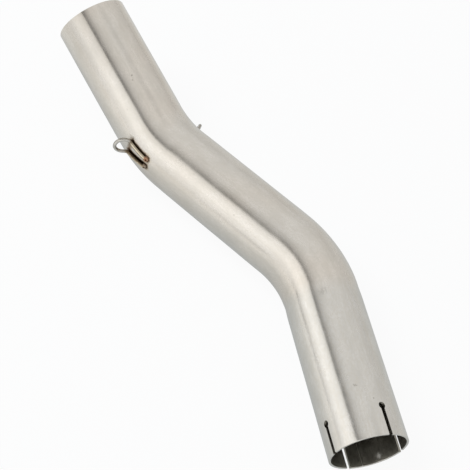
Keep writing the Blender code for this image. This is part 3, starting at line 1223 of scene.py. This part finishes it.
def tent_cloth():
    """Cloth that gives light, with the shades of its foot and its fold"""
    made, tree = bare_material("tent_cloth")
    x, y, z = split(term(tree, "ShaderNodeTexCoord", output="Object"))
    angle = z.calc("ARCTAN2", -y)
    low = remap(angle, FOOT_HEIGHT, FOOT_HEIGHT / 2)
    foot = low * remap(abs(x - BOARD_PLACE), *BOARD_REACH)
    fold = remap(abs(angle - FOLD_ANGLE), FOLD_WIDTH, FOLD_WIDTH / 4) * remap(x, *FOLD_RUN_OUT)
    lit = 1 - (foot * FOOT_SHADE + fold * FOLD_SHADE)
    light = term(tree, "ShaderNodeEmission", {"Color": scaled(tent_brightness(angle), lit)})
    add(tree, "ShaderNodeOutputMaterial", {"Surface": light})
    made.cycles.emission_sampling = "NONE"
    return made


def add_tent():
    """A half round tent over the tube's length, seen in the metal and not by the camera"""
    points = []
    for step in range(TENT_STEPS + 1):
        angle = pi * step / TENT_STEPS
        for x in (-TENT_HALF_LENGTH, TENT_HALF_LENGTH):
            points.append((x, -TENT_RADIUS * cos(angle), TENT_RADIUS * sin(angle)))
    faces = [(start, start + 1, start + 3, start + 2) for start in range(0, 2 * TENT_STEPS, 2)]
    tent = into_scene("light_tent", mesh_of("light_tent", points, [], faces))
    tent.rotation_euler.z = TENT_TURN
    tent.data.materials.append(tent_cloth())
    tent.visible_camera = False
    tent.visible_diffuse = False
    tent.visible_shadow = False


def table_lines():
    """The table's grid lines one way: close together by the tube and ever wider beyond"""
    lines = [0.0]
    step = TABLE_STEP
    while lines[-1] < TABLE_HALF:
        if lines[-1] > TABLE_FINE_HALF:
            step *= TABLE_STEP_GROWTH
        lines.append(min(lines[-1] + step, TABLE_HALF))
    return [-line for line in reversed(lines[1:])] + lines


def table_mesh():
    """The table top, with each point's distance from the tube as seen from above"""
    lines = table_lines()
    count = len(lines)
    corners = [(x, y, -TABLE_DROP) for y in lines for x in lines]
    starts = [row * count + column for row in range(count - 1) for column in range(count - 1)]
    faces = [(start, start + 1, start + count + 1, start + count) for start in starts]
    stations = run_stations(STRAIGHT_STEP * 3, BEND_STEP * 5)
    axis = [frame_at(station).translation.to_2d() for station in stations]
    beside = []
    for corner in corners:
        nearest = min((Vector(corner[:2]) - point).length for point in axis)
        beside.append(max(nearest - OUTER_RADIUS, 0))
    return mesh_of("white_table", corners, [], faces, beside_tube=beside)


def seen_by(tree, ray):
    return term(tree, "ShaderNodeLightPath", output=f"Is {ray} Ray")


def shown_by(share, first, second):
    """Two shaders, the second laid on the first by a share"""
    return term(share.tree, "ShaderNodeMixShader", {0: share, 1: first, 2: second})


def table_top():
    """White for the camera, with the tube's shadow; the metal sees a glow with a painted shadow beside the
    tube and a painted fall-off of light across the table
    """
    made, tree = bare_material("white_table_top")
    paint = term(tree, "ShaderNodeBsdfDiffuse", {"Color": TABLE_PAINT})
    white = term(tree, "ShaderNodeEmission", {"Color": WHITE})
    seen = seen_by(tree, "Camera").calc("MAXIMUM", seen_by(tree, "Transmission"))
    top = shown_by(seen * TABLE_WHITENESS, paint, white)
    x, y, z = split(term(tree, "ShaderNodeTexCoord", output="Object"))
    # Painted shadow and light for the metal: brighter on the -Y hand, dimmer and cooler beside the tube
    far = remap(y, -TABLE_FAR_HALF, TABLE_FAR_HALF, *TABLE_FAR, "LINEAR")
    beside = read(tree, "beside_tube")
    share = beside / (beside + TABLE_DIMMING)
    level = (far - TABLE_BESIDE) * share + TABLE_BESIDE
    shown = term(tree, "ShaderNodeEmission", {"Color": mixed(share, *TABLE_TINTS), "Strength": level})
    top = shown_by(seen_by(tree, "Glossy") * TABLE_GLEAM, top, shown)
    add(tree, "ShaderNodeOutputMaterial", {"Surface": top})
    return made


def add_table():
    table = into_scene("white_table", table_mesh())
    table.data.materials.append(table_top())


def add_world():
    """A soft room light, which the camera, gloss and glass see as white"""
    world = bpy.data.worlds.new("white_room")
    bpy.context.scene.world = world
    world.use_nodes = True
    tree = world.node_tree
    tree.nodes.clear()
    seen = seen_by(tree, "Camera").calc("MAXIMUM", seen_by(tree, "Glossy"))
    seen = seen.calc("MAXIMUM", seen_by(tree, "Transmission"))
    room = term(tree, "ShaderNodeBackground", {"Color": WHITE, "Strength": ROOM_LIGHT})
    white = term(tree, "ShaderNodeBackground", {"Color": WHITE})
    add(tree, "ShaderNodeOutputWorld", {"Surface": shown_by(seen, room, white)})


def add_lamp():
    """A soft lamp that points at the tube"""
    data = bpy.data.lights.new("soft_lamp", "AREA")
    data.shape = "DISK"
    data.size = LAMP_SIZE
    data.energy = LAMP_POWER
    lamp = into_scene("soft_lamp", data)
    lamp.location = LAMP_PLACE
    lamp.rotation_mode = "QUATERNION"
    lamp.rotation_quaternion = (-Vector(LAMP_PLACE)).to_track_quat("-Z", "Y")
    lamp.visible_glossy = False
    lamp.visible_camera = False


def add_camera():
    data = bpy.data.cameras.new("photo_view")
    data.lens = CAMERA_LENS
    data.sensor_width = CAMERA_SENSOR
    forward = Vector(CAMERA_FORWARD).normalized()
    right = Vector(CAMERA_RIGHT)
    right = (right - forward * right.dot(forward)).normalized()
    turned = Matrix((right, right.cross(forward), -forward)).transposed()
    camera = into_scene("photo_view", data)
    camera.matrix_world = Matrix.Translation(CAMERA_PLACE) @ turned.to_4x4()
    bpy.context.scene.camera = camera


def build():
    groups = {
        "grain": fine_grain_group(),
        "cloud": cloud_group(),
        "heat": heat_group(),
        "leg": leg_group(),
        "streak": streak_group(),
        "marks": marks_group(),
    }
    welds = guide("weld_places", [leg_end(hand, leg).translation for hand in HOOK_SIDES for leg in LEGS])
    tube = add_tube(satin_steel(groups), bore_steel(groups), welds)
    add_hooks(wire_steel(groups), welds, tube)
    add_beads(weld_steel(groups))
    remove(welds)
    add_tent()
    add_table()
    add_world()
    add_lamp()
    add_camera()
    bpy.context.scene.view_settings.view_transform = "Standard"


build()
